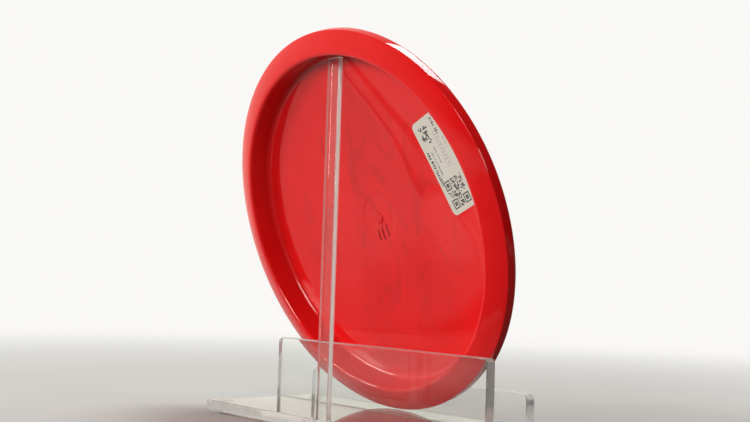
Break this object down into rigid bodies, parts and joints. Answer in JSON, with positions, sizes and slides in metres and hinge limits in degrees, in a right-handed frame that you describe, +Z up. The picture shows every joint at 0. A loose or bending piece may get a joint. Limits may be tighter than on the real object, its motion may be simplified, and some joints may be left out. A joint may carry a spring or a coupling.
{
  "type": "flying disc on display stand",
  "caption": "Glossy moulded flying disc with a label inside its hollow underside, leaning in a clear acrylic easel stand that it lifts out of.",
  "frame": {"origin": "on the table, under the middle of the stand's base plate", "axes": "+X along the low panel, +Y towards the side that the disc's face looks to, +Z up"},
  "size_m": [0.213, 0.086, 0.2114],
  "materials": {
    "disc_plastic": "glossy injection-moulded red plastic, slightly translucent",
    "label_paper": "white thermal label with plain printed marks",
    "clear_acrylic": "clear cast acrylic with polished faces and bright cut edges",
    "bumper_rubber": "clear soft bumper"
  },
  "bodies": {
    "stand": {"base_plate": "clear_acrylic", "low_panel": "clear_acrylic", "front_lip": "clear_acrylic", "upright": "clear_acrylic", "bumper_foot_1": "bumper_rubber", "bumper_foot_2": "bumper_rubber", "bumper_foot_3": "bumper_rubber", "bumper_foot_4": "bumper_rubber"},
    "disc": {"flying_disc": "disc_plastic", "inventory_label": "label_paper"}
  },
  "joints": [
    {"name": "disc_lift", "type": "slide", "parent": "stand", "child": "disc", "axis": [0, 0, 1], "range_m": [0, 0.2]}
  ]
}
